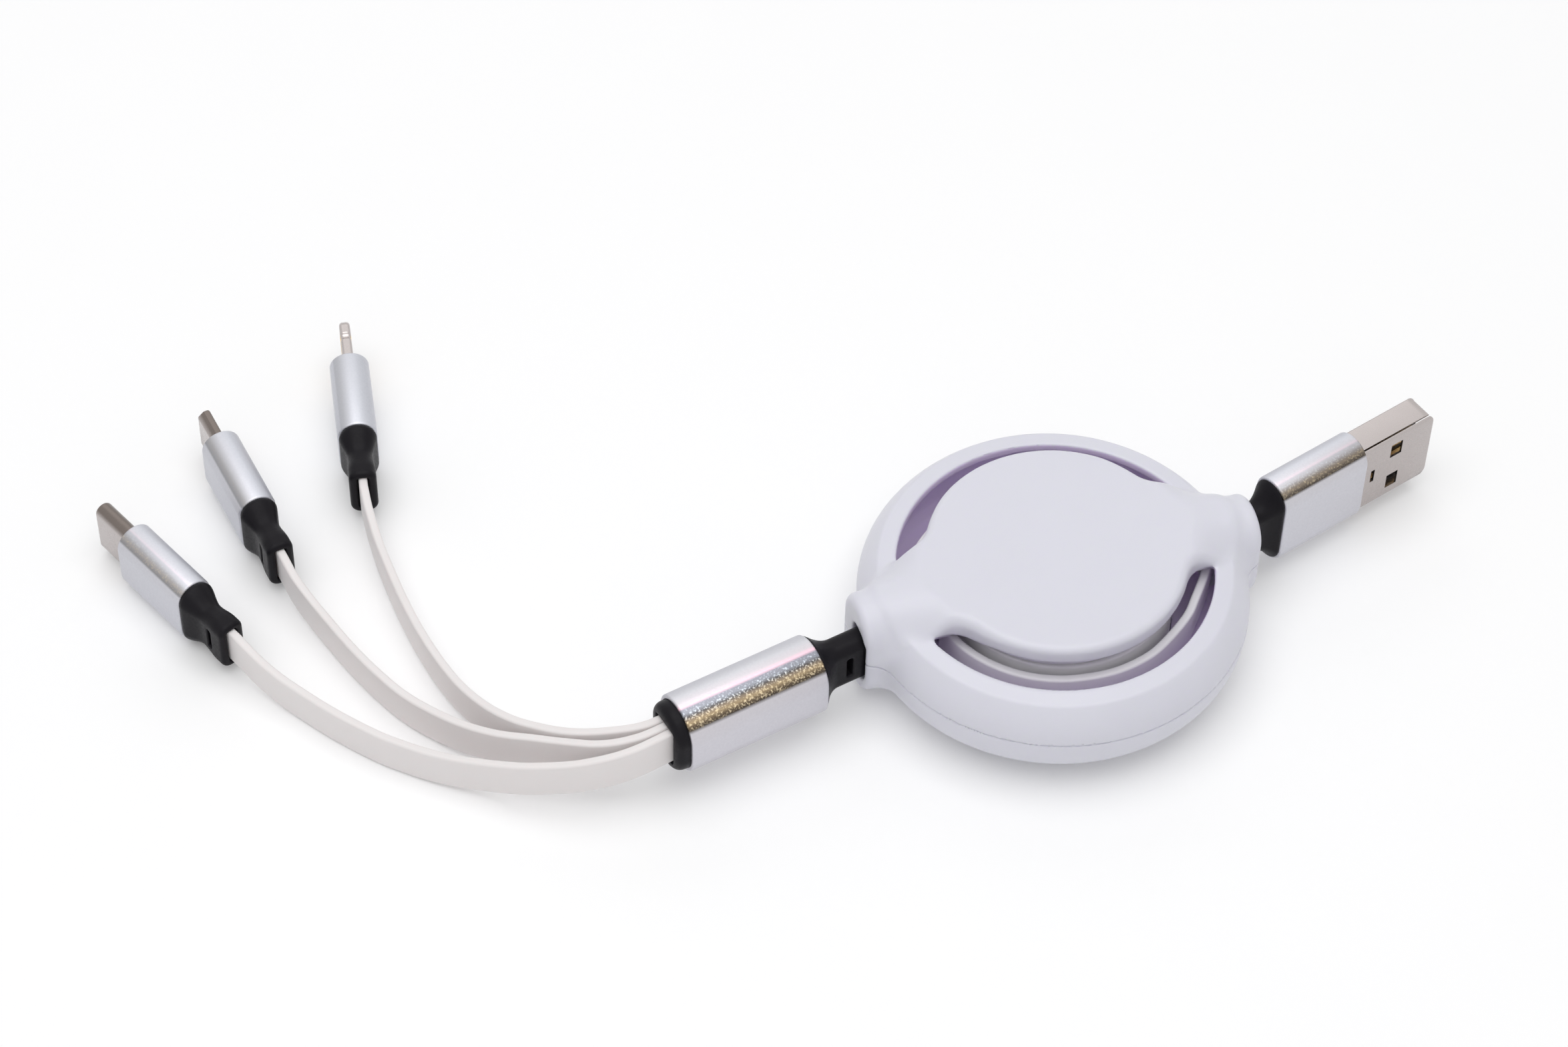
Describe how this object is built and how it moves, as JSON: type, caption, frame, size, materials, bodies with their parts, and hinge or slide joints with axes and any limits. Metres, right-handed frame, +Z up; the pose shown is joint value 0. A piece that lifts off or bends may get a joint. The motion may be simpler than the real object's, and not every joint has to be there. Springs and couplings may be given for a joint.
{
  "type": "usb cable",
  "caption": "Retractable flat charging cable on a round spring reel with a USB-A plug, a splitter and three short plug leads.",
  "frame": {"origin": "centre of the flat foot under the reel, on the reel's axis, at the surface that it stands on", "axes": "+Z up along the reel's axis; +X through the middle of the two ports, towards the USB-A plug"},
  "size_m": [0.1763, 0.1045, 0.0181],
  "materials": {
    "housing": "satin moulded",
    "inner_plastic": "satin moulded",
    "spring_steel": "polished",
    "cable_jacket": "smooth satin",
    "boot_rubber": "soft matte",
    "sleeve_aluminium": "bead blasted",
    "plug_plastic": "moulded",
    "plug_steel": "satin nickel",
    "gold_plate": "gold plated",
    "dark_insert": "moulded"
  },
  "bodies": {
    "reel": {"upper_shell": "housing", "lower_shell": "housing", "plug_tail": "cable_jacket", "splitter_tail": "cable_jacket"},
    "spool": {"spool": "inner_plastic", "power_spring": "spring_steel", "spring_cover": "inner_plastic", "wound_cable": "cable_jacket"},
    "latch_ball": {"latch_ball": "spring_steel"},
    "usb_a_plug": {"usb_a_boot": "boot_rubber", "usb_a_sleeve": "sleeve_aluminium", "usb_a_core": "plug_plastic", "usb_a_shell": "plug_steel", "usb_a_tongue": "dark_insert", "usb_a_contacts": "gold_plate"},
    "splitter": {"splitter_boot": "boot_rubber", "splitter_sleeve": "sleeve_aluminium", "splitter_core": "boot_rubber", "splitter_cap": "boot_rubber", "usb_c_cord": "cable_jacket", "usb_c_boot": "boot_rubber", "usb_c_sleeve": "sleeve_aluminium", "usb_c_core": "plug_plastic", "usb_c_shell": "plug_steel", "usb_c_insert": "dark_insert", "usb_c_contacts": "gold_plate", "micro_cord": "cable_jacket", "micro_boot": "boot_rubber", "micro_sleeve": "sleeve_aluminium", "micro_core": "plug_plastic", "micro_shell": "plug_steel", "micro_insert": "dark_insert", "micro_contacts": "gold_plate", "eight_pin_cord": "cable_jacket", "eight_pin_boot": "boot_rubber", "eight_pin_sleeve": "sleeve_aluminium", "eight_pin_core": "plug_plastic", "eight_pin_tab": "plug_steel", "eight_pin_contacts": "gold_plate"}
  },
  "joints": [
    {"name": "usb_a_pull", "type": "slide", "parent": "reel", "child": "usb_a_plug", "axis": [0.9593, 0.2823, 0], "range_m": [0, 0.223]},
    {"name": "splitter_pull", "type": "slide", "parent": "reel", "child": "splitter", "axis": [-0.981, -0.1942, 0], "range_m": [0, 0.223]},
    {"name": "spool_turn", "type": "hinge", "parent": "reel", "child": "spool", "pos_m": [0, 0, 0.00905], "axis": [0, 0, 1], "range_deg": [0, 1080]},
    {"name": "latch_ball_travel", "type": "slide", "parent": "reel", "child": "latch_ball", "axis": [0, 1, 0], "range_m": [0, 0.0014]}
  ],
  "couplings": [
    {"joint": "splitter_pull", "follows": "usb_a_pull", "ratio": 1},
    {"joint": "spool_turn", "follows": "usb_a_pull", "rad_per_m": 84.527}
  ]
}
